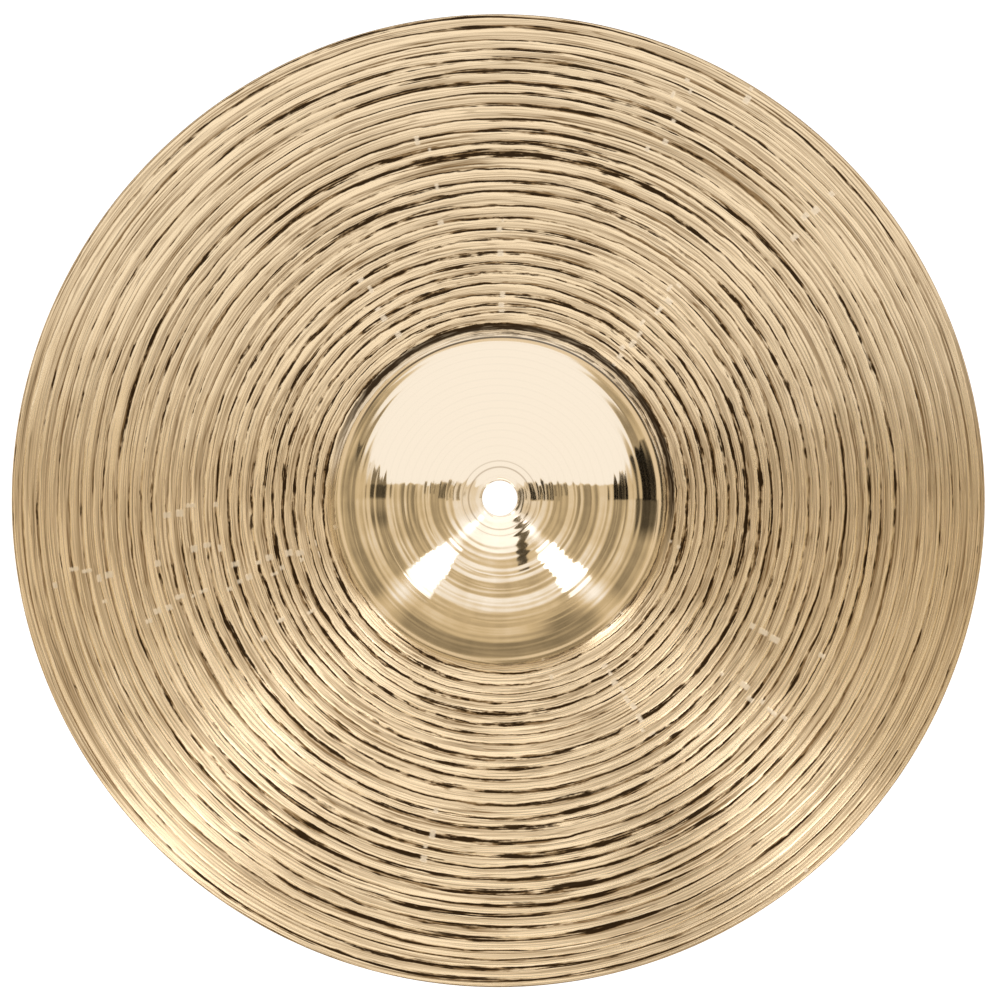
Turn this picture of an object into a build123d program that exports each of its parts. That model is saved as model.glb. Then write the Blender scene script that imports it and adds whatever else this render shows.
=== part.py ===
from build123d import *
import os
from math import asin, cos, radians, sin

# Crash cymbal: one disc of cast bronze, rolled, hammered into a shallow bow and turned on a
# lathe, with a raised bell and a round hole for the stand in the middle of it.
# Millimetres. The rim rests on Z = 0, +Z is the axis of the disc, and the bell is on top.
# The outline of the top, from the hole outwards, is three arcs that meet in line: the dome of
# the bell, the hollow at the bell's foot, and the bow. Slopes are in degrees below level.

# Driving dimensions
INCH = 25.4
DISC_DIAMETER = 14 * INCH
HOLE_DIAMETER = 0.5 * INCH
DOME_RADIUS_AT_FOOT = 59.0  # where the dome ends and the hollow at its foot begins
DOME_SLOPE_AT_FOOT = 45.0
FOOT_HOLLOW_RADIUS = 8.0
BOW_SLOPE_AT_FOOT = 4.0
BOW_SLOPE_AT_RIM = 10.0
BELL_THICKNESS = 1.2  # from the hole to the foot of the bell
RIM_THICKNESS = 0.8  # the bow thins evenly outwards to this
HOLE_EDGE_ROUND = 0.15


def below_level(radius, slope):
    """The point on a circle about the origin where the circle slopes down outwards by slope."""
    return Vector(radius * sin(radians(slope)), radius * cos(radians(slope)))


# Worked out from the driving dimensions
disc_radius = DISC_DIAMETER / 2
hole_radius = HOLE_DIAMETER / 2
rim_round = RIM_THICKNESS / 2
rim_centre = Vector(disc_radius - rim_round, rim_round)
rim_top = rim_centre + below_level(rim_round, BOW_SLOPE_AT_RIM)
rim_bottom = rim_centre - below_level(rim_round, BOW_SLOPE_AT_RIM)
dome_radius = DOME_RADIUS_AT_FOOT / sin(radians(DOME_SLOPE_AT_FOOT))
foot_width = FOOT_HOLLOW_RADIUS * (sin(radians(DOME_SLOPE_AT_FOOT)) - sin(radians(BOW_SLOPE_AT_FOOT)))
bow_start = DOME_RADIUS_AT_FOOT + foot_width
bow_sine = sin(radians(BOW_SLOPE_AT_RIM)) - sin(radians(BOW_SLOPE_AT_FOOT))
bow_radius = (rim_top.X - bow_start) / bow_sine
bow_centre = rim_top - below_level(bow_radius, BOW_SLOPE_AT_RIM)
foot_end = bow_centre + below_level(bow_radius, BOW_SLOPE_AT_FOOT)
foot_centre = foot_end + below_level(FOOT_HOLLOW_RADIUS, BOW_SLOPE_AT_FOOT)
dome_end = foot_centre - below_level(FOOT_HOLLOW_RADIUS, DOME_SLOPE_AT_FOOT)
dome_centre = dome_end - below_level(dome_radius, DOME_SLOPE_AT_FOOT)


def downhill(slope):
    """The direction of an outline that slopes down outwards by slope."""
    return Vector(cos(radians(slope)), -sin(radians(slope)))


def dome_arc(radius):
    """The dome's outline at this radius about its centre, from the hole's wall to the foot."""
    at_hole = asin(hole_radius / radius)
    start = dome_centre + Vector(hole_radius, radius * cos(at_hole))
    end = dome_centre + below_level(radius, DOME_SLOPE_AT_FOOT)
    return RadiusArc(start, end, radius)


def foot_arc(radius):
    """The hollow at the bell's foot, at this radius about its centre."""
    start = foot_centre - below_level(radius, DOME_SLOPE_AT_FOOT)
    end = foot_centre - below_level(radius, BOW_SLOPE_AT_FOOT)
    return RadiusArc(start, end, -radius)


def cymbal_section():
    """Half of the disc's section, from the wall of the hole to the rim, in the XZ plane."""
    dome_top = dome_arc(dome_radius)
    foot_top = foot_arc(FOOT_HOLLOW_RADIUS)
    bow_top = RadiusArc(foot_end, rim_top, bow_radius)
    rim = ThreePointArc(rim_top, rim_centre + downhill(BOW_SLOPE_AT_RIM) * rim_round, rim_bottom)
    dome_under = dome_arc(dome_radius - BELL_THICKNESS)
    foot_under = foot_arc(FOOT_HOLLOW_RADIUS + BELL_THICKNESS)
    bow_under = TangentArc(foot_under @ 1, rim_bottom, tangent=downhill(BOW_SLOPE_AT_FOOT))
    hole_wall = Line(dome_under @ 0, dome_top @ 0)
    outline = [dome_top, foot_top, bow_top, rim, bow_under, foot_under, dome_under, hole_wall]
    return Plane.XZ * make_face(outline)


def cymbal():
    """The whole disc, with the two edges of the stand hole slightly rounded."""
    disc = revolve(cymbal_section(), Axis.Z)
    hole_edges = disc.edges().filter_by(GeomType.CIRCLE).sort_by(SortBy.RADIUS)[:2]
    return fillet(hole_edges, HOLE_EDGE_ROUND)


os.makedirs("parts", exist_ok=True)
disc = cymbal()
disc.label = "cymbal"
export_step(disc, "parts/cymbal.step")
box = disc.bounding_box()
print(f"cymbal: {box.size.X:.2f} x {box.size.Y:.2f} x {box.size.Z:.2f} mm, base at {box.min.Z:.4f}")
print(f"bell: {2 * bow_start:.1f} mm across, {box.max.Z - foot_end.Y:.1f} mm above its foot")
print(f"bow: {foot_end.Y:.1f} mm high at the bell's foot, arc radius {bow_radius:.0f} mm")
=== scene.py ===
import math

import bpy
from bpy.props import FloatProperty, FloatVectorProperty, IntProperty, PointerProperty
from mathutils import Matrix, Vector


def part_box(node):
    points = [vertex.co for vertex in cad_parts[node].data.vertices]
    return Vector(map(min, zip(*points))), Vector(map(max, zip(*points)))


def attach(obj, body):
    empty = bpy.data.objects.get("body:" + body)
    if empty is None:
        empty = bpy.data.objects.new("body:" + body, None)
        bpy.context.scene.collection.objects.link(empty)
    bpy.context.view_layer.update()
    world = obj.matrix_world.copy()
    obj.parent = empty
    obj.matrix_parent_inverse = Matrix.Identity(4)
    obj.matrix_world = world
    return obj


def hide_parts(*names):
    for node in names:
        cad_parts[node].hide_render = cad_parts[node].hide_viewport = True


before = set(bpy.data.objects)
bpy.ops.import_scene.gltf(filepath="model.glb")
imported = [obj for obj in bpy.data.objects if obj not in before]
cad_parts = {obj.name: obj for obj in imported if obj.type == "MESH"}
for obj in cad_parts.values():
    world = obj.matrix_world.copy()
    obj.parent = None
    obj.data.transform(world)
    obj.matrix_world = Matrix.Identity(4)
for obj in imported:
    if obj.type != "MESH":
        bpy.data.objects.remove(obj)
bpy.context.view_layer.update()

bl_info = {
    "name": "Crash Cymbal",
    "version": (1, 0, 0),
    "blender": (4, 5, 0),
    "location": "3D View > Sidebar > Cymbal",
    "description": "Makes a hammered and hand-turned bronze crash cymbal, and a studio to show it in",
    "category": "Add Mesh",
}

MM = 0.001
CAD_LOW, CAD_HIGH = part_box("cymbal")
DISC_RADIUS = (CAD_HIGH.x - CAD_LOW.x) / 2
TURN = 2 * math.pi

# How finely the disc is meshed
COLUMNS = 264  # slices round the axis
TOP_RINGS_PER_BAND = 6
UNDER_RINGS_PER_BAND = 3
RING_CROWDING = 1.7  # above 1, the rings of a band crowd towards its groove
RIM_STEPS = 5
WALL_STEPS = 3
MERGE_DISTANCE = 2e-6
SEED_STEP = 31.7  # how far apart two seeds read the chance patterns

TURNING = "turning"  # the mesh attribute: turn round the axis, count of bands from the hole, side
TOP_SIDE, UNDER_SIDE, EDGE_SIDE = 0.0, 1.0, 2.0


# Sums written on sockets


class Value:
    """A socket of a node tree that sums can be written with."""

    def __init__(self, graph, socket):
        self.graph = graph
        self.socket = socket

    def __add__(self, other):
        return self.graph.math("ADD", self, other)

    __radd__ = __add__

    def __sub__(self, other):
        return self.graph.math("SUBTRACT", self, other)

    def __rsub__(self, other):
        return self.graph.math("SUBTRACT", other, self)

    def __mul__(self, other):
        return self.graph.math("MULTIPLY", self, other)

    __rmul__ = __mul__

    def __truediv__(self, other):
        return self.graph.math("DIVIDE", self, other)

    def __rtruediv__(self, other):
        return self.graph.math("DIVIDE", other, self)

    def __pow__(self, other):
        return self.graph.math("POWER", self, other)

    def __gt__(self, other):
        return self.graph.math("GREATER_THAN", self, other)

    def __lt__(self, other):
        return self.graph.math("LESS_THAN", self, other)


class Graph:
    """A node tree, and the one method that adds every kind of node to it."""

    def __init__(self, tree):
        self.tree = tree

    def add(self, kind, settings=None, inputs=None, output=0):
        """Adds a node: its settings, then the value or link of each input. Gives one output."""
        node = self.tree.nodes.new(kind)
        for name, value in (settings or {}).items():
            setattr(node, name, value)
        for name, value in (inputs or {}).items():
            if isinstance(value, Value):
                self.tree.links.new(value.socket, node.inputs[name])
            else:
                node.inputs[name].default_value = value
        return Value(self, node.outputs[output]) if len(node.outputs) else node

    def math(self, operation, *terms):
        return self.add("ShaderNodeMath", {"operation": operation}, dict(enumerate(terms)))

    def sin(self, value):
        return self.math("SINE", value)

    def cos(self, value):
        return self.math("COSINE", value)

    def root(self, value):
        return self.math("SQRT", value)

    def floor(self, value):
        return self.math("FLOOR", value)

    def part(self, value):
        """What a value has beyond its whole number."""
        return self.math("FRACT", value)

    def size(self, value):
        return self.math("ABSOLUTE", value)

    def least(self, value, other):
        return self.math("MINIMUM", value, other)

    def most(self, value, other):
        return self.math("MAXIMUM", value, other)

    def held(self, value, low, high):
        return self.least(self.most(value, low), high)

    def choose(self, test, yes, no):
        """yes where the test is 1, no where it is 0, and a blend between."""
        return test * yes + (1 - test) * no

    def ramp(self, value, start, end, low=0.0, high=1.0):
        """Eases from low to high as the value goes from start to end."""
        inputs = {"Value": value, "From Min": start, "From Max": end, "To Min": low, "To Max": high}
        return self.add("ShaderNodeMapRange", {"interpolation_type": "SMOOTHSTEP"}, inputs)

    def hump(self, value, centre, half_width):
        """1 where the value is at the centre, easing to 0 at half_width from it."""
        return self.ramp(self.size(value - centre), half_width, 0.0)

    def vector(self, x, y, z):
        return self.add("ShaderNodeCombineXYZ", None, {0: x, 1: y, 2: z})

    def parts(self, vector):
        """The three numbers of a vector."""
        node = vector.graph.add("ShaderNodeSeparateXYZ", None, {0: vector}).socket.node
        return [Value(self, output) for output in node.outputs]

    def noise(self, x, y, z, detail=2.0, roughness=0.5):
        """Smooth chance values about 0, mostly within 0.3 of it."""
        inputs = {"Vector": self.vector(x, y, z), "Scale": 1.0, "Detail": detail, "Roughness": roughness}
        return self.add("ShaderNodeTexNoise", None, inputs) - 0.5

    def chance(self, x, y, z):
        """One chance value from 0 to 1 for each set of whole numbers."""
        return self.add("ShaderNodeTexWhiteNoise", None, {"Vector": self.vector(x, y, z)})

    def cells(self, x, y, z):
        """The distance from the middle of the nearest of many scattered cells."""
        return self.add("ShaderNodeTexVoronoi", None, {"Vector": self.vector(x, y, z), "Scale": 1.0})

    def mix_colour(self, factor, first, second):
        settings = {"data_type": "RGBA"}
        return self.add("ShaderNodeMix", settings, {0: factor, 6: first, 7: second}, 2)

    def scaled(self, vector, factor):
        settings = {"operation": "SCALE"}
        return self.add("ShaderNodeVectorMath", settings, {0: vector, "Scale": factor})


# The settings a user would change


class DiscSizes(bpy.types.PropertyGroup):
    """The drawn shape of the disc."""

    diameter: FloatProperty(
        name="Diameter", description="Across the rim", default=2 * DISC_RADIUS, unit="LENGTH")
    hole: FloatProperty(
        name="Hole", description="Across the stand hole", default=12.7 * MM, unit="LENGTH")
    dome_radius: FloatProperty(
        name="Dome radius", description="From the axis to where the bell's dome ends",
        default=59 * MM, unit="LENGTH")
    dome_slope: FloatProperty(
        name="Dome slope", description="Slope of the dome where it ends",
        default=math.radians(45), subtype="ANGLE")
    foot_radius: FloatProperty(
        name="Foot radius", description="Radius of the hollow at the bell's foot",
        default=8 * MM, unit="LENGTH")
    bow_slope_in: FloatProperty(
        name="Bow slope at foot", description="Slope of the bow where it meets the bell",
        default=math.radians(4), subtype="ANGLE")
    bow_slope_out: FloatProperty(
        name="Bow slope at rim", description="Slope of the bow at the rim",
        default=math.radians(10), subtype="ANGLE")
    bell_thickness: FloatProperty(
        name="Bell thickness", description="Thickness of the metal from the hole to the bell's foot",
        default=1.2 * MM, unit="LENGTH")
    rim_thickness: FloatProperty(
        name="Rim thickness", description="Thickness that the bow tapers to",
        default=0.8 * MM, unit="LENGTH")
    hole_round: FloatProperty(
        name="Hole rounding", description="Rounding of the hole's two edges",
        default=0.15 * MM, unit="LENGTH")


class WorkMarks(bpy.types.PropertyGroup):
    """What the lathe and the hammer leave."""

    pitch: FloatProperty(
        name="Band pitch", description="Mean width of a lathe band", default=4.1 * MM, unit="LENGTH")
    band_depth: FloatProperty(
        name="Band depth", description="Depth of a band's hollow", default=0.07 * MM, unit="LENGTH")
    groove_depth: FloatProperty(
        name="Groove depth", description="Depth of the groove between two bands",
        default=0.07 * MM, unit="LENGTH")
    under_pitch: FloatProperty(
        name="Underside pitch", description="Mean width of a band on the underside",
        default=6.5 * MM, unit="LENGTH")
    off_centre: FloatVectorProperty(
        name="Off centre", description="How far the lathe's centre lies from the rim's",
        default=(1.35 * MM, -0.7 * MM), size=2, unit="LENGTH")
    waver: FloatProperty(
        name="Waver", description="How far a band wanders to and fro", default=0.9 * MM, unit="LENGTH")
    dent_size: FloatProperty(
        name="Dent size", description="Across one hammer dent", default=17 * MM, unit="LENGTH")
    dent_depth: FloatProperty(
        name="Dent depth", description="Depth of one hammer dent", default=0.10 * MM, unit="LENGTH")
    # Painted shade: how much wider and darker the tool marks are painted on two opposite sides than between
    # them
    painted_shade_sides: FloatProperty(
        name="Saddle", description="How much harder the tool bit on two opposite sides than between them",
        default=1.0, min=0.0, max=1.0)
    seed: IntProperty(name="Seed", description="Chooses another set of chance marks", default=3)


class BronzeFinish(bpy.types.PropertyGroup):
    """The colours and the shine of the metal."""

    polished: FloatVectorProperty(
        name="Polished bronze", description="Colour of the polished bell",
        default=(0.93, 0.775, 0.535), subtype="COLOR")
    turned: FloatVectorProperty(
        name="Turned bronze", description="Colour of the turned bow",
        default=(0.95, 0.725, 0.42), subtype="COLOR")
    # Painted glint: the light colour that the hammer blows are painted with
    struck_glint: FloatVectorProperty(
        name="Struck bronze", description="Colour where the hammer has burnished it",
        default=(1.0, 0.88, 0.66), subtype="COLOR")
    golden: FloatVectorProperty(
        name="Golden bronze", description="Colour where the metal has begun to tarnish",
        default=(0.86, 0.66, 0.38), subtype="COLOR")
    # Painted shade: the brown that the bands' hollows and the strips beside the tool marks are darkened
    # towards; the bell's fine rings and the lines round the hole take it too
    shade: FloatVectorProperty(
        name="Shade", description="Colour of the finely scored metal between two grooves",
        default=(0.26, 0.155, 0.062), subtype="COLOR")
    # Painted shade: the near-black colour painted into the tool marks, the thin lines and the ring at the
    # bell's foot, standing in for the dark reflections in the grooves
    groove: FloatVectorProperty(
        name="Groove", description="Colour at the bottom of a groove",
        default=(0.030, 0.015, 0.005), subtype="COLOR")
    bell_roughness: FloatProperty(
        name="Bell roughness", description="Roughness of the polished bell", default=0.06)
    bow_roughness: FloatProperty(
        name="Bow roughness", description="Roughness of the turned bow", default=0.28)
    anisotropy: FloatProperty(
        name="Stretch", description="How far the fine grooves stretch a shine across them", default=0.85)


class Studio(bpy.types.PropertyGroup):
    """The floor, the light and the camera."""

    floor: FloatVectorProperty(
        name="Floor", description="Colour of the floor", default=(1.0, 1.0, 1.0), subtype="COLOR")
    camera_height: FloatProperty(
        name="Camera height", description="Height of the camera above the rim", default=2.0, unit="LENGTH")
    margin: FloatProperty(
        name="Margin", description="Height of the picture as a share of the disc's diameter",
        default=1.0275)
    lean: FloatVectorProperty(
        name="Lean", description="How far the camera stands off the disc's axis",
        default=(-0.020, -0.031), size=2, unit="LENGTH")


# The outline of the disc


def disc_inputs(sizes, marks):
    """The sizes that the disc's node tree takes, worked out from the user's."""
    dome_sine, dome_cosine = math.sin(sizes.dome_slope), math.cos(sizes.dome_slope)
    in_sine, in_cosine = math.sin(sizes.bow_slope_in), math.cos(sizes.bow_slope_in)
    out_sine, out_cosine = math.sin(sizes.bow_slope_out), math.cos(sizes.bow_slope_out)
    rim_round = sizes.rim_thickness / 2
    rim_centre = sizes.diameter / 2 - rim_round
    rim_x = rim_centre + rim_round * out_sine
    rim_z = rim_round + rim_round * out_cosine
    dome_arc = sizes.dome_radius / dome_sine
    bow_start = sizes.dome_radius + sizes.foot_radius * (dome_sine - in_sine)
    bow_arc = (rim_x - bow_start) / (out_sine - in_sine)
    bow_x = rim_x - bow_arc * out_sine
    bow_z = rim_z - bow_arc * out_cosine
    foot_x = bow_start + sizes.foot_radius * in_sine
    foot_z = bow_z + (bow_arc + sizes.foot_radius) * in_cosine
    dome_z = foot_z - (sizes.foot_radius + dome_arc) * dome_cosine
    return {
        "Hole Radius": sizes.hole / 2,
        "Hole Round": sizes.hole_round,
        "Dome Arc": dome_arc,
        "Dome Z": dome_z,
        "Dome End": sizes.dome_radius,
        "Foot Arc": sizes.foot_radius,
        "Foot X": foot_x,
        "Foot Z": foot_z,
        "Bow Start": bow_start,
        "Bow Arc": bow_arc,
        "Bow X": bow_x,
        "Bow Z": bow_z,
        "Rim Centre": rim_centre,
        "Rim Round": rim_round,
        "Rim Slope": sizes.bow_slope_out,
        "Bell Thickness": sizes.bell_thickness,
        "Rim Thickness": sizes.rim_thickness,
        "Band Pitch": marks.pitch,
        "Band Depth": marks.band_depth,
        "Groove Depth": marks.groove_depth,
        "Under Pitch": marks.under_pitch,
        "Off Centre X": marks.off_centre[0],
        "Off Centre Y": marks.off_centre[1],
        "Waver": marks.waver,
        "Dent Size": marks.dent_size,
        "Dent Depth": marks.dent_depth,
        "Seed": float(marks.seed),
    }


def top_height(graph, size, radius):
    """The height of the smooth top at a radius: the dome, the hollow at its foot, or the bow."""
    dome = size["Dome Z"] + graph.root(size["Dome Arc"] ** 2 - radius ** 2)
    foot = size["Foot Z"] - graph.root(size["Foot Arc"] ** 2 - (radius - size["Foot X"]) ** 2)
    bow = size["Bow Z"] + graph.root(size["Bow Arc"] ** 2 - (radius - size["Bow X"]) ** 2)
    inner = graph.choose(radius < size["Dome End"], dome, foot)
    return graph.choose(radius < size["Bow Start"], inner, bow)


def under_height(graph, size, radius):
    """The height of the smooth underside at a radius, one thickness of metal below the top."""
    thick = size["Bell Thickness"]
    dome_arc = size["Dome Arc"] - thick
    foot_arc = size["Foot Arc"] + thick
    dome = size["Dome Z"] + graph.root(dome_arc ** 2 - radius ** 2)
    foot = size["Foot Z"] - graph.root(foot_arc ** 2 - (radius - size["Foot X"]) ** 2)
    taper = graph.held((radius - size["Bow Start"]) / (size["Rim Centre"] - size["Bow Start"]), 0.0, 1.0)
    cosine = graph.root(1 - ((radius - size["Bow X"]) / size["Bow Arc"]) ** 2)
    bow_thick = thick + (size["Rim Thickness"] - thick) * taper
    bow = top_height(graph, size, radius) - bow_thick / cosine
    dome_end = size["Dome End"] * dome_arc / size["Dome Arc"]
    inner = graph.choose(radius < dome_end, dome, foot)
    return graph.choose(radius < size["Bow Start"], inner, bow)


def spiral_radius(graph, size, turns, angle, pitch, start, end):
    """How far from the axis the lathe's one long groove is after this many turns."""
    wander = turns
    for share, period, lead in ((0.13, 30.0, 0.2), (0.17, 3.7, 1.0), (0.12, 2.3, 4.0)):
        swing = graph.sin(turns * (TURN / period) + lead) - math.sin(lead)
        wander = wander + swing * (share * period / TURN)
    radius = start + pitch * wander
    spread = graph.ramp(radius, start, size["Bow Start"]) * graph.ramp(radius, end, end - 12 * MM)
    drift = size["Off Centre X"] * graph.cos(angle) + size["Off Centre Y"] * graph.sin(angle)
    drift = drift - 0.2 * MM * graph.cos(angle * 2)
    lift = radius * 90.0 + size["Seed"] * SEED_STEP
    waver = size["Waver"] * graph.noise(graph.cos(angle) * 4.0, graph.sin(angle) * 4.0, lift, 3.0, 0.6)
    return graph.held(radius + spread * (drift + waver), start, end)


def band_share(graph, ring, per_band):
    """How many bands from the first a ring of the mesh lies: whole ones, and a share of the next."""
    whole = graph.floor((ring + 0.5) / per_band)
    step = graph.most(ring - whole * per_band, 0.0)
    return whole + (step / per_band) ** RING_CROWDING


def dents(graph, size, x, y):
    """The height of the hammered surface above the smooth one."""
    across, up = x / size["Dent Size"], y / size["Dent Size"]
    lift = size["Seed"] * SEED_STEP
    dent = graph.ramp(graph.cells(across, up, lift), 0.62, 0.12) * (0 - size["Dent Depth"])
    swell = graph.noise(across * 0.55, up * 0.55, lift, 2.0, 0.5) * size["Dent Depth"] * 2.6
    return dent + swell


def disc_tree(inputs, material, bands, under_bands):
    """The node tree that makes the whole disc as one closed skin, rolled up from a flat grid."""
    tree = bpy.data.node_groups.new("turned_disc", "GeometryNodeTree")
    for name, value in inputs.items():
        socket = tree.interface.new_socket(name, in_out="INPUT", socket_type="NodeSocketFloat")
        socket.default_value = value
    tree.interface.new_socket("Geometry", in_out="OUTPUT", socket_type="NodeSocketGeometry")
    graph = Graph(tree)
    source = tree.nodes.new("NodeGroupInput")
    size = {name: Value(graph, source.outputs[name]) for name in inputs}

    top_rings = bands * TOP_RINGS_PER_BAND
    under_rings = under_bands * UNDER_RINGS_PER_BAND
    rim_end = top_rings + RIM_STEPS
    under_end = rim_end + under_rings
    rings = under_end + WALL_STEPS
    counts = {"Size X": 1.0, "Size Y": 1.0, "Vertices X": COLUMNS + 1, "Vertices Y": rings + 1}
    grid = graph.add("GeometryNodeMeshGrid", None, counts)

    flat_x, flat_y, _ = graph.parts(graph.add("GeometryNodeInputPosition"))
    turn = flat_x + 0.5
    angle = turn * TURN
    ring = graph.math("ROUND", (flat_y + 0.5) * float(rings))
    start = size["Hole Radius"] + size["Hole Round"]
    end = size["Rim Centre"] + size["Rim Round"] * graph.sin(size["Rim Slope"])
    under_edge = size["Rim Centre"] - size["Rim Round"] * graph.sin(size["Rim Slope"])
    cosine, sine = graph.cos(angle), graph.sin(angle)

    # The top, from the hole to the rim
    share = band_share(graph, ring, TOP_RINGS_PER_BAND)
    top_radius = spiral_radius(graph, size, share - 1 + turn, angle, size["Band Pitch"], start, end)
    along = graph.part(share + 1e-4)
    depth_lift = top_radius * 260.0 + size["Seed"] * SEED_STEP
    depth_chance = graph.noise(cosine * 1.7, sine * 1.7, depth_lift, 2.0, 0.5)
    deep = graph.ramp(depth_chance, -0.25, 0.25, 0.35, 1.65)
    hollow = along * (along - 1) * 4.0 * size["Band Depth"] * deep
    groove = graph.hump(along, 0.047, 0.1) * (0 - size["Groove Depth"]) * deep
    edge_fade = graph.ramp(top_radius, start, start + 4 * MM) * graph.ramp(top_radius, end, end - 5 * MM)
    bell_calm = graph.ramp(top_radius, size["Dome End"], size["Bow Start"] + 3 * MM, 0.3, 1.0)
    top_dents = dents(graph, size, cosine * top_radius, sine * top_radius)
    relief = edge_fade * bell_calm * (hollow + groove + top_dents)
    top_z = top_height(graph, size, top_radius) + relief

    # The rolled rim
    rim_step = graph.held((ring - float(top_rings)) / float(RIM_STEPS), 0.0, 1.0)
    rim_angle = math.pi / 2 - size["Rim Slope"] - rim_step * math.pi
    rim_radius = size["Rim Centre"] + size["Rim Round"] * graph.cos(rim_angle)
    rim_z = size["Rim Round"] + size["Rim Round"] * graph.sin(rim_angle)

    # The underside, from the rim back to the hole
    under_ring = graph.most(float(under_end) - ring, 0.0)
    under_share = band_share(graph, under_ring, UNDER_RINGS_PER_BAND)
    under_turns = under_share - 1 + turn
    under_radius = spiral_radius(graph, size, under_turns, angle, size["Under Pitch"], start, under_edge)
    under_along = graph.part(under_share + 1e-4)
    under_fade = graph.ramp(under_radius, start, start + 4 * MM)
    under_fade = under_fade * graph.ramp(under_radius, under_edge, under_edge - 5 * MM)
    under_hollow = under_along * (1 - under_along) * 4.0 * size["Band Depth"]
    under_dents = dents(graph, size, cosine * under_radius, sine * under_radius)
    under_z = under_height(graph, size, under_radius) + under_fade * (under_hollow + under_dents)

    # The wall of the hole, with its edges rounded
    wall_step = graph.held(ring - float(under_end), 0.0, float(WALL_STEPS))
    upper = wall_step > 1.5
    inside = (wall_step > 0.5) * (wall_step < WALL_STEPS - 0.5)
    wall_radius = start - inside * size["Hole Round"]
    high = top_height(graph, size, start) - inside * size["Hole Round"]
    low = under_height(graph, size, start) + inside * size["Hole Round"]
    wall_z = graph.choose(upper, high, low)

    on_top = ring < top_rings + 0.5
    on_rim = (ring < rim_end + 0.5) * (1 - on_top)
    on_under = (ring < under_end + 0.5) * (1 - on_top) * (1 - on_rim)
    on_wall = 1 - on_top - on_rim - on_under
    radius = on_top * top_radius + on_rim * rim_radius + on_under * under_radius + on_wall * wall_radius
    height = on_top * top_z + on_rim * rim_z + on_under * under_z + on_wall * wall_z
    place = graph.vector(cosine * radius, sine * radius, height)
    side = on_under * UNDER_SIDE + (on_rim + on_wall) * EDGE_SIDE
    turning = graph.vector(turn, on_top * share + on_under * under_share, side)

    settings = {"data_type": "FLOAT_VECTOR", "domain": "CORNER"}
    marked = graph.add(
        "GeometryNodeStoreNamedAttribute", settings, {"Geometry": grid, "Name": TURNING, "Value": turning})
    rolled = graph.add("GeometryNodeSetPosition", None, {"Geometry": marked, "Position": place})
    merge = {"Geometry": rolled, "Distance": MERGE_DISTANCE}
    closed = graph.add("GeometryNodeMergeByDistance", None, merge)
    # The grid rolls up inside out
    outward = graph.add("GeometryNodeFlipFaces", None, {"Mesh": closed})
    smooth = graph.add("GeometryNodeSetShadeSmooth", None, {"Geometry": outward, "Shade Smooth": True})
    real = graph.add("GeometryNodeRealizeInstances", None, {"Geometry": smooth})
    finished = graph.add("GeometryNodeSetMaterial", None, {"Geometry": real, "Material": material})
    target = tree.nodes.new("NodeGroupOutput")
    tree.links.new(finished.socket, target.inputs["Geometry"])
    return tree


def plain_mesh(name, tree, inputs):
    """Runs a node tree on an empty object, and keeps the result as a plain mesh object."""
    piece = bpy.data.objects.new(name, bpy.data.meshes.new(name))
    bpy.context.scene.collection.objects.link(piece)
    modifier = piece.modifiers.new("make", "NODES")
    modifier.node_group = tree
    for socket in tree.interface.items_tree:
        if socket.in_out == "INPUT" and socket.name in inputs:
            modifier[socket.identifier] = inputs[socket.name]
    depsgraph = bpy.context.evaluated_depsgraph_get()
    made = bpy.data.meshes.new_from_object(
        piece.evaluated_get(depsgraph), preserve_all_data_layers=True, depsgraph=depsgraph)
    if not made.polygons:
        raise RuntimeError(f"the node tree made no faces for {name}")
    piece.modifiers.remove(modifier)
    piece.data = made
    made.name = name
    return piece


# The finish

# Where the marks lie, in millimetres
FOOT_RING_RADIUS = 61.8
DOME_LINE_RADIUS = 57.9
BELL_RING_PITCH = 2.7
CHAIN_LENGTH = 34.0  # one chain of hammer blows, along the radius

BLOW_COLUMNS = 90.0  # how many places round the disc a chain of blows can take


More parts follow.
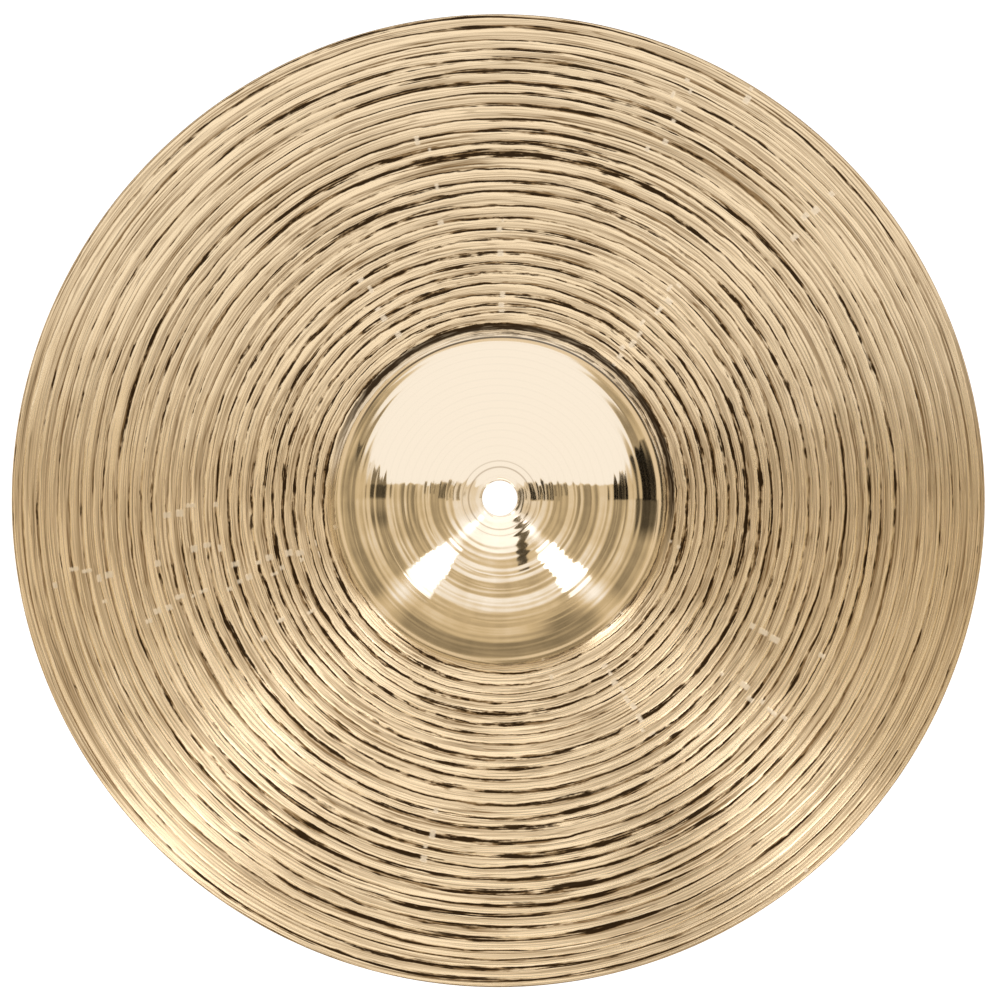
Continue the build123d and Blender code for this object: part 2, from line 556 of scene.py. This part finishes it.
def bronze(finish, marks, sizes):
    """Turned bell bronze: pale bands, broken tool marks between them painted dark as painted shade, and
    hammer blows with a painted glint.
    """
    material = bpy.data.materials.new("turned_bronze")
    material.use_nodes = True
    tree = material.node_tree
    tree.nodes.clear()
    graph = Graph(tree)
    seed = float(marks.seed)

    turning = graph.add("ShaderNodeAttribute", {"attribute_name": TURNING}, None, "Vector")
    turn, share, side = graph.parts(turning)
    turns = share + turn
    angle = turn * TURN
    on_top = side < (TOP_SIDE + UNDER_SIDE) / 2
    x, y, _ = graph.parts(graph.add("ShaderNodeTexCoord", None, None, "Object"))
    radius = graph.root(x * x + y * y)
    millimetres = radius * 1000.0
    cosine, sine = graph.cos(angle), graph.sin(angle)
    on_bow = graph.ramp(radius, sizes.dome_radius - 1 * MM, sizes.dome_radius + 3 * MM)

    def streaks(round_count, across_count, detail=2.0, roughness=0.5, lead=0.0):
        """Chance values stretched along the groove: how fast they change round and across it."""
        lift = turns * across_count + (seed + lead) * SEED_STEP
        return graph.noise(cosine * round_count, sine * round_count, lift, detail, roughness)

    # How hard the tool bit, harder near the bell. On two opposite sides the marks are painted wider and
    # darker as painted shade, standing in for the dark reflections on those sides
    painted_shade_sides = (0.5 - graph.cos(angle * 2) * (marks.painted_shade_sides * 0.5)) ** 1.5
    painted_shade_sides = painted_shade_sides * graph.ramp(radius, 92 * MM, 116 * MM, 0.5, 1.0)
    near_bell = graph.ramp(radius, 125 * MM, 70 * MM) * 0.6
    calm = graph.ramp(radius, 140 * MM, 156 * MM) * 0.33
    chatter = graph.ramp(streaks(1.4, 0.9, 1.0, 0.5, 2.0), -0.2, 0.2) * 0.7
    bite_and_painted_shade = graph.most(painted_shade_sides, near_bell) + chatter - 0.33 - calm

    # The tool mark lies at the end of each band: one line, or a torn strip of several. Its darkness and the
    # brown scored strip beside it are painted shade, standing in for the dark reflections off the groove
    # walls
    tremble = streaks(11.0, 1.1, 3.0, 0.55, 1.0) * 0.34
    along = graph.part(share + 0.95 + tremble)
    across = graph.part(along + 0.5) - 0.5
    wide = 0.075 + (0.05 + 0.17 * bite_and_painted_shade) * graph.ramp(streaks(1.7, 0.7, 2.0, 0.6, 3.0), -0.16, 0.14)
    zone = graph.ramp(graph.size(across) / wide, 1.45, 0.05)
    threads = streaks(7.0, 6.5, 1.0, 0.5, 4.0)
    patches = streaks(17.0, 2.2, 3.0, 0.65, 12.0)
    chances = (threads * 3.1 + patches * 2.0) * graph.ramp(wide, 0.09, 0.24, 0.35, 1.0)
    cut = zone * 0.62 + chances + bite_and_painted_shade * 0.16
    broken = graph.ramp(patches + bite_and_painted_shade * 0.35, 0.0, 0.12, 0.15, 1.0) * on_bow
    scored_shade = graph.ramp(cut, 0.10, 0.55) * graph.ramp(zone, 0.0, 0.35) * on_bow * (0.4 + broken * 0.6)
    mark = graph.ramp(cut, 0.42, 0.78) * graph.ramp(zone, 0.0, 0.2) * broken

    # Thinner lines on the band beside it, painted dark as painted shade, and a ridge painted lighter as a
    # painted highlight
    second = graph.hump(across, 0.33, 0.05) * graph.ramp(streaks(4.0, 1.7, 2.0, 0.5, 5.0), -0.08, 0.12)
    third = graph.hump(across, -0.30, 0.045) * graph.ramp(streaks(5.0, 2.3, 2.0, 0.5, 6.0), -0.06, 0.14)
    ridge_and_highlight = graph.hump(across + wide, -0.05, 0.10) * graph.ramp(streaks(6.0, 1.3, 2.0, 0.5, 7.0), -0.28, 0.0)
    fine = streaks(2.0, 3.5, 1.0, 0.6, 8.0) + streaks(3.0, 9.0, 0.0, 0.5, 9.0)
    scratch = graph.ramp(graph.size(streaks(2.6, 3.0, 1.0, 0.5, 13.0)), 0.034, 0.008)

    # Hammer blows: chains of short straight dents along the radius, one or none to a band, each painted as a
    # dab of light: a painted glint
    band = graph.floor(share + 0.5)
    column = turn * BLOW_COLUMNS
    cell = graph.floor(column)
    often = graph.hump(turn, 0.535, 0.06) + graph.hump(turn, 0.90, 0.06) + graph.hump(turn, 0.13, 0.05)
    chain = graph.chance(cell, graph.floor(millimetres / CHAIN_LENGTH), seed) > 0.965 - often * 0.13
    struck_glint = graph.chance(cell, band, seed + 0.2) > 0.35
    place = 0.5 + (graph.chance(cell, band, seed + 0.4) - 0.5) * 0.6
    reach = 0.3 + graph.chance(cell, band, seed + 0.6) * 0.8
    long = 0.2 + graph.chance(cell, band, seed + 0.8) * 0.3
    aside = graph.size((column - cell) - place) * (TURN / BLOW_COLUMNS) * millimetres
    stroke_and_glint = graph.ramp(aside - reach, 0.6, -0.4) * graph.ramp(graph.size(across + 0.04), long, long * 0.5)
    stroke_and_glint = stroke_and_glint * chain * struck_glint * on_bow * on_top

    # Painted shade: the marks and thin lines are painted near black on the top and underside, and are broken
    # where a hammer blow's painted glint lies
    line = graph.most(mark, graph.most(second * 0.6, third * 0.5) * on_bow)
    dark = line * (1 - stroke_and_glint * 0.95) * (side < (UNDER_SIDE + EDGE_SIDE) / 2)

    # Tone of the band: painted shade of its hollow darkens it towards its inner edge, with faint long lines
    # and scratches; painted highlights lighten its ridge and the hammer blows
    painted_slope_shade = graph.ramp(along, 0.1, 0.95, 0.12, -0.10)
    veil = 0.25 + painted_slope_shade + fine * 1.3 + scratch * 0.32 + scored_shade * 0.7 - ridge_and_highlight * 0.7 - stroke_and_glint * 0.9
    veil = graph.held(veil * on_bow, 0.0, 1.0)
    clean = graph.ramp(graph.noise(x * 14.0, y * 14.0, seed * SEED_STEP, 3.0, 0.6), 0.02, 0.26)
    turned = graph.mix_colour(clean * 0.6, (*finish.turned, 1.0), (*finish.golden, 1.0))
    tone = graph.mix_colour(on_bow, (*finish.polished, 1.0), turned)
    tone = graph.mix_colour(veil, tone, (*finish.shade, 1.0))
    tone = graph.mix_colour(stroke_and_glint * 0.5, tone, (*finish.struck_glint, 1.0))

    # Painted shade: a dark ring where the bell ends and a fine one where its dome ends, painted on one side
    # of the bell only, standing in for the dark reflections there
    foot_x, foot_y = x - 0.9 * MM, y - 0.9 * MM
    foot_radius = graph.root(foot_x * foot_x + foot_y * foot_y) * 1000.0
    foot_shade_side = graph.ramp(graph.cos(angle - math.radians(72)), -0.25, 0.45)
    foot_wander = foot_radius - FOOT_RING_RADIUS + patches * 1.2
    foot_ring_shade = graph.ramp(graph.size(foot_wander), 1.45, 0.7) * foot_shade_side
    dome_shade_side = graph.ramp(graph.cos(angle - math.radians(85)), 0.1, 0.6)
    dome_line_shade = graph.ramp(graph.size(foot_radius - DOME_LINE_RADIUS), 0.5, 0.2) * dome_shade_side
    foot_shade = graph.most(foot_ring_shade * (1.0 + threads), dome_line_shade * 0.85) * on_top
    dark = graph.held(graph.most(dark, foot_shade), 0.0, 1.0)

    # Fine rings on the bell, and two thin lines round the hole
    ring_turn = millimetres * (TURN / BELL_RING_PITCH) + streaks(1.0, 0.7, 1.0, 0.5, 10.0) * 3.0
    ring_size = graph.ramp(graph.noise(0.0, 0.0, millimetres * 0.2 + seed, 2.0, 0.6), -0.25, 0.15, 0.3, 1.0)
    ring_size = ring_size * (1 - on_bow)
    bell_ring = graph.sin(ring_turn) * ring_size
    bell_line = graph.hump(graph.sin(ring_turn + 1.2), 1.0, 0.35) * ring_size
    hole_line = graph.hump(millimetres, 11.2, 0.5) * 0.5 + graph.hump(millimetres, 13.4, 0.4) * 0.3
    tone = graph.mix_colour(bell_line * 0.03 + hole_line, tone, (*finish.shade, 1.0))
    # The painted shade of the marks and of the bell's foot, in the groove colour
    colour = graph.mix_colour(dark * 0.98, tone, (*finish.groove, 1.0))
    base = graph.choose(on_bow, finish.bow_roughness, finish.bell_roughness)
    rough = graph.held(base + (fine * 0.10 + dark * 0.10) * on_bow + stroke_and_glint * 0.3, 0.04, 1.0)

    depth = 0 - (mark * 0.05 + zone * 0.04 + second * 0.025 + third * 0.02 + scratch * 0.006) * on_bow
    depth = depth + (fine * 0.022 + ridge_and_highlight * 0.02) * on_bow + bell_ring * 0.014
    depth = depth - stroke_and_glint * 0.03
    bump = graph.add("ShaderNodeBump", None, {"Strength": 1.0, "Distance": MM, "Height": depth})

    shader = graph.add("ShaderNodeBsdfPrincipled", None, {
        "Base Color": colour,
        "Metallic": 1.0,
        "Roughness": rough,
        "Anisotropic": finish.anisotropy,
        "Anisotropic Rotation": 0.25,
        "Normal": bump,
    })
    graph.add("ShaderNodeOutputMaterial", None, {"Surface": shader})
    return material


# The studio


def floor_material(colour):
    """A floor of lit white acrylic, whose light falls off before it reaches the metal."""
    material = bpy.data.materials.new("pale_floor")
    material.use_nodes = True
    material.node_tree.nodes.clear()
    graph = Graph(material.node_tree)
    seen = graph.add("ShaderNodeLightPath", None, None, "Is Camera Ray")
    lit = graph.mix_colour(seen, (0.55, 0.46, 0.34, 1.0), (*colour, 1.0))
    shader = graph.add("ShaderNodeBsdfPrincipled", None, {
        "Base Color": (*(0.2 * part for part in colour), 1.0),
        "Roughness": 0.9,
        "Emission Color": lit,
        "Emission Strength": 1.05,
    })
    graph.add("ShaderNodeOutputMaterial", None, {"Surface": shader})
    return material


# Dark things that stand in the studio, placed as a polished ball shows them: left, right, low, high
# (1 is the edge of the ball), and how much of the light behind them they let through
DARK_CARDS = {
    "right stand": (0.15, 0.19, 0.0, 0.08, 0.02),
    "right stand's leg": (0.21, 0.24, 0.0, 0.075, 0.1),
    "right post": (0.28, 0.295, 0.02, 0.075, 0.3),
    "left stand": (-0.21, -0.185, 0.0, 0.08, 0.3),
    "left stand's leg": (-0.26, -0.235, 0.01, 0.08, 0.2),
    "left post": (-0.31, -0.29, 0.03, 0.08, 0.2),
    "camera": (0.085, 0.118, -0.06, 0.05, 0.1),
    "camera arm": (0.08, 0.125, -0.28, -0.085, 0.1),
}
CARD_BLUR = 0.004  # half the width of a card's soft edge


def studio_light(world):
    """A white scrim over the far half, two lamps at the near corners, and a dim warm room."""
    world.use_nodes = True
    world.node_tree.nodes.clear()
    graph = Graph(world.node_tree)
    x, y, z = graph.parts(graph.add("ShaderNodeTexCoord", None, None, "Generated"))
    # Where a polished ball seen from above shows this direction
    shrink = graph.root(graph.most(2 + z * 2, 1e-4))
    ball_x, ball_y = x / shrink, y / shrink
    ball = graph.root(ball_x * ball_x + ball_y * ball_y)
    bearing = graph.math("ARCTAN2", y, x) * (180 / math.pi)

    near = graph.ramp(0 - y / graph.most(graph.root(x * x + y * y), 1e-4), 0.3, 0.85)
    side_wall = graph.ramp(ball, 0.12, 0.30, 0.92, 0.56)
    near_wall = graph.ramp(ball, 0.16, 0.28, 1.36, 0.80) * graph.ramp(ball, 0.66, 0.50, 0.50, 1.0)
    room = graph.choose(near, near_wall, side_wall)
    slat_wander = graph.noise(ball_x * 3.0, ball_y * 3.0, 2.0, 1.0) * 2.5
    slats = 0 - graph.cos((ball - 0.53) * (TURN / 0.13) + slat_wander)
    clutter = graph.noise(ball_x * 9.0, ball_y * 9.0, 4.0, 3.0, 0.6)
    slat_depth = graph.ramp(ball, 0.16, 0.35, 0.1, 0.46) * (1 - near * 0.3)
    room = room * (1 + clutter * 0.6 + slats * slat_depth)
    edge = graph.root((ball_x / 0.575) ** 2 + ((ball_y - 0.15) / 0.58) ** 2)
    scrim = graph.ramp(ball_y, 0.066, 0.076) * graph.ramp(edge, 1.02, 0.98)
    lamp_reach = graph.ramp(ball, 0.27, 0.33) * graph.ramp(ball, 0.54, 0.47)
    glow_reach = graph.ramp(ball, 0.07, 0.12) * (0.34 + graph.hump(ball, 0.15, 0.09) * 1.1)
    notch = slats * 1.2
    lamps = graph.ramp(graph.size(bearing + 134.0) + notch, 9.0, 7.0)
    lamps = lamps + graph.ramp(graph.size(bearing + 46.5) - notch, 8.5, 6.5)
    glows = graph.hump(bearing, -136.0, 9.5) + graph.hump(bearing, -44.0, 9.5)

    level = graph.choose(scrim, 1.08, room) + lamps * lamp_reach * 2.4 + glows * glow_reach
    for left, right, low, high, through in DARK_CARDS.values():
        card = 1.0 - through
        for place, start, end in ((ball_x, left, right), (ball_y, low, high)):
            card = graph.ramp(place, start - CARD_BLUR, start + CARD_BLUR) * card
            card = graph.ramp(place, end + CARD_BLUR, end - CARD_BLUR) * card
        level = level * (1 - card)
    # A doorway on the right with its sill, a shelf and a ladder on the left, and a dark near corner
    gaps = graph.ramp(slats, 0.5, 0.0, 0.1, 1.0)
    doorway = graph.ramp(ball_x, 0.50, 0.51) * graph.ramp(ball_y, 0.0, 0.01)
    doorway = doorway * graph.ramp(ball_y - (ball_x - 0.5) * 1.7, 0.06, 0.04) * gaps
    sill = graph.ramp(ball_x, 0.60, 0.62)
    sill = sill * graph.ramp(ball_y, 0.015, 0.005) * graph.ramp(ball_y, -0.2, -0.1)
    shelf = graph.ramp(ball_x, -0.47, -0.48) * graph.ramp(ball_x, -0.62, -0.61)
    shelf = shelf * graph.ramp(ball_y, 0.0, 0.02) * gaps
    shelf = shelf * graph.ramp(ball_y + (ball_x + 0.5) * 1.6, 0.10, 0.08)
    corner = graph.hump(bearing, -62.0, 18.0) * graph.ramp(graph.size(ball - 0.60), 0.030, 0.022)
    ladder = graph.ramp(ball_x, -0.46, -0.47) * graph.ramp(ball_x, -0.61, -0.60)
    ladder = ladder * graph.hump(ball_y, -0.07, 0.07) * gaps
    level = level * (1 - doorway * 0.97) * (1 - sill * 0.8) * (1 - shelf * 0.8)
    level = level * (1 - corner * 0.6) * (1 - ladder * 0.5)
    # What lies below the horizon
    level = level * graph.ramp(ball, 0.80, 0.72, 0.05, 1.0)
    warm, cool = (1.0, 0.845, 0.62, 1.0), (0.96, 1.0, 1.16, 1.0)
    tint = graph.mix_colour(graph.ramp(level, 0.62, 1.12), warm, cool)
    seen = graph.add("ShaderNodeLightPath", None, None, "Is Camera Ray")
    colour = graph.mix_colour(seen, graph.scaled(tint, level), (0.97, 0.97, 0.97, 1.0))
    background = graph.add("ShaderNodeBackground", None, {"Color": colour, "Strength": 1.0})
    graph.add("ShaderNodeOutputWorld", None, {"Surface": background})


def overhead_camera(studio, sizes):
    """A long lens straight above the disc, with the far side of it at the top of the picture."""
    data = bpy.data.cameras.new("camera")
    camera = bpy.data.objects.new("camera", data)
    bpy.context.scene.collection.objects.link(camera)
    place = Vector((studio.lean[0], studio.lean[1], studio.camera_height))
    aim = Vector((0.3 * MM, 0.0, 0.0))
    back = (place - aim).normalized()
    right = Vector((0.0, 1.0, 0.0)).cross(back).normalized()
    camera.location = place
    camera.rotation_euler = Matrix((right, back.cross(right), back)).transposed().to_euler()
    data.lens = data.sensor_width * studio.camera_height / (studio.margin * sizes.diameter)
    data.clip_end = 100.0
    bpy.context.scene.camera = camera


# The operators


class CYMBAL_OT_make_disc(bpy.types.Operator):
    """Makes the hammered and turned disc in place of its plain solid"""

    bl_idname = "cymbal.make_disc"
    bl_label = "Make Disc"

    def execute(self, context):
        sizes, marks = context.scene.cymbal_sizes, context.scene.cymbal_marks
        inputs = disc_inputs(sizes, marks)
        span = sizes.diameter / 2 - sizes.hole / 2
        bands = math.ceil(span / marks.pitch) + 3
        under_bands = math.ceil(span / marks.under_pitch) + 3
        material = bronze(context.scene.cymbal_finish, marks, sizes)
        tree = disc_tree(inputs, material, bands, under_bands)
        disc = plain_mesh("turned_disc", tree, inputs)
        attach(disc, "root")
        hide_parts("cymbal")
        return {"FINISHED"}


class CYMBAL_OT_set_stage(bpy.types.Operator):
    """Lays the pale floor, sets the studio light and hangs the camera over the disc"""

    bl_idname = "cymbal.set_stage"
    bl_label = "Set Stage"

    def execute(self, context):
        studio = context.scene.cymbal_studio
        bpy.ops.mesh.primitive_circle_add(vertices=96, radius=30.0, fill_type="NGON")
        floor = context.object
        floor.name = "floor"
        floor.data.materials.append(floor_material(studio.floor))
        world = bpy.data.worlds.new("studio")
        context.scene.world = world
        studio_light(world)
        overhead_camera(studio, context.scene.cymbal_sizes)
        context.scene.view_settings.view_transform = "Standard"
        return {"FINISHED"}


class VIEW3D_PT_cymbal(bpy.types.Panel):
    """The cymbal's settings and its two operators"""

    bl_idname = "VIEW3D_PT_cymbal"
    bl_label = "Crash Cymbal"
    bl_space_type = "VIEW_3D"
    bl_region_type = "UI"
    bl_category = "Cymbal"

    def draw(self, context):
        for name in GROUPS:
            group = getattr(context.scene, name)
            box = self.layout.box()
            for key in group.bl_rna.properties.keys():
                if key not in ("rna_type", "name"):
                    box.prop(group, key)
        for operator in OPERATORS:
            self.layout.operator(operator.bl_idname)


GROUPS = {
    "cymbal_sizes": DiscSizes,
    "cymbal_marks": WorkMarks,
    "cymbal_finish": BronzeFinish,
    "cymbal_studio": Studio,
}
OPERATORS = (CYMBAL_OT_make_disc, CYMBAL_OT_set_stage)


def register():
    for name, group in GROUPS.items():
        bpy.utils.register_class(group)
        setattr(bpy.types.Scene, name, PointerProperty(type=group))
    for operator in OPERATORS:
        bpy.utils.register_class(operator)
    bpy.utils.register_class(VIEW3D_PT_cymbal)


def unregister():
    bpy.utils.unregister_class(VIEW3D_PT_cymbal)
    for operator in reversed(OPERATORS):
        bpy.utils.unregister_class(operator)
    for name, group in reversed(GROUPS.items()):
        delattr(bpy.types.Scene, name)
        bpy.utils.unregister_class(group)


def main():
    register()
    bpy.ops.cymbal.make_disc()
    bpy.ops.cymbal.set_stage()


if __name__ == "__main__":
    main()
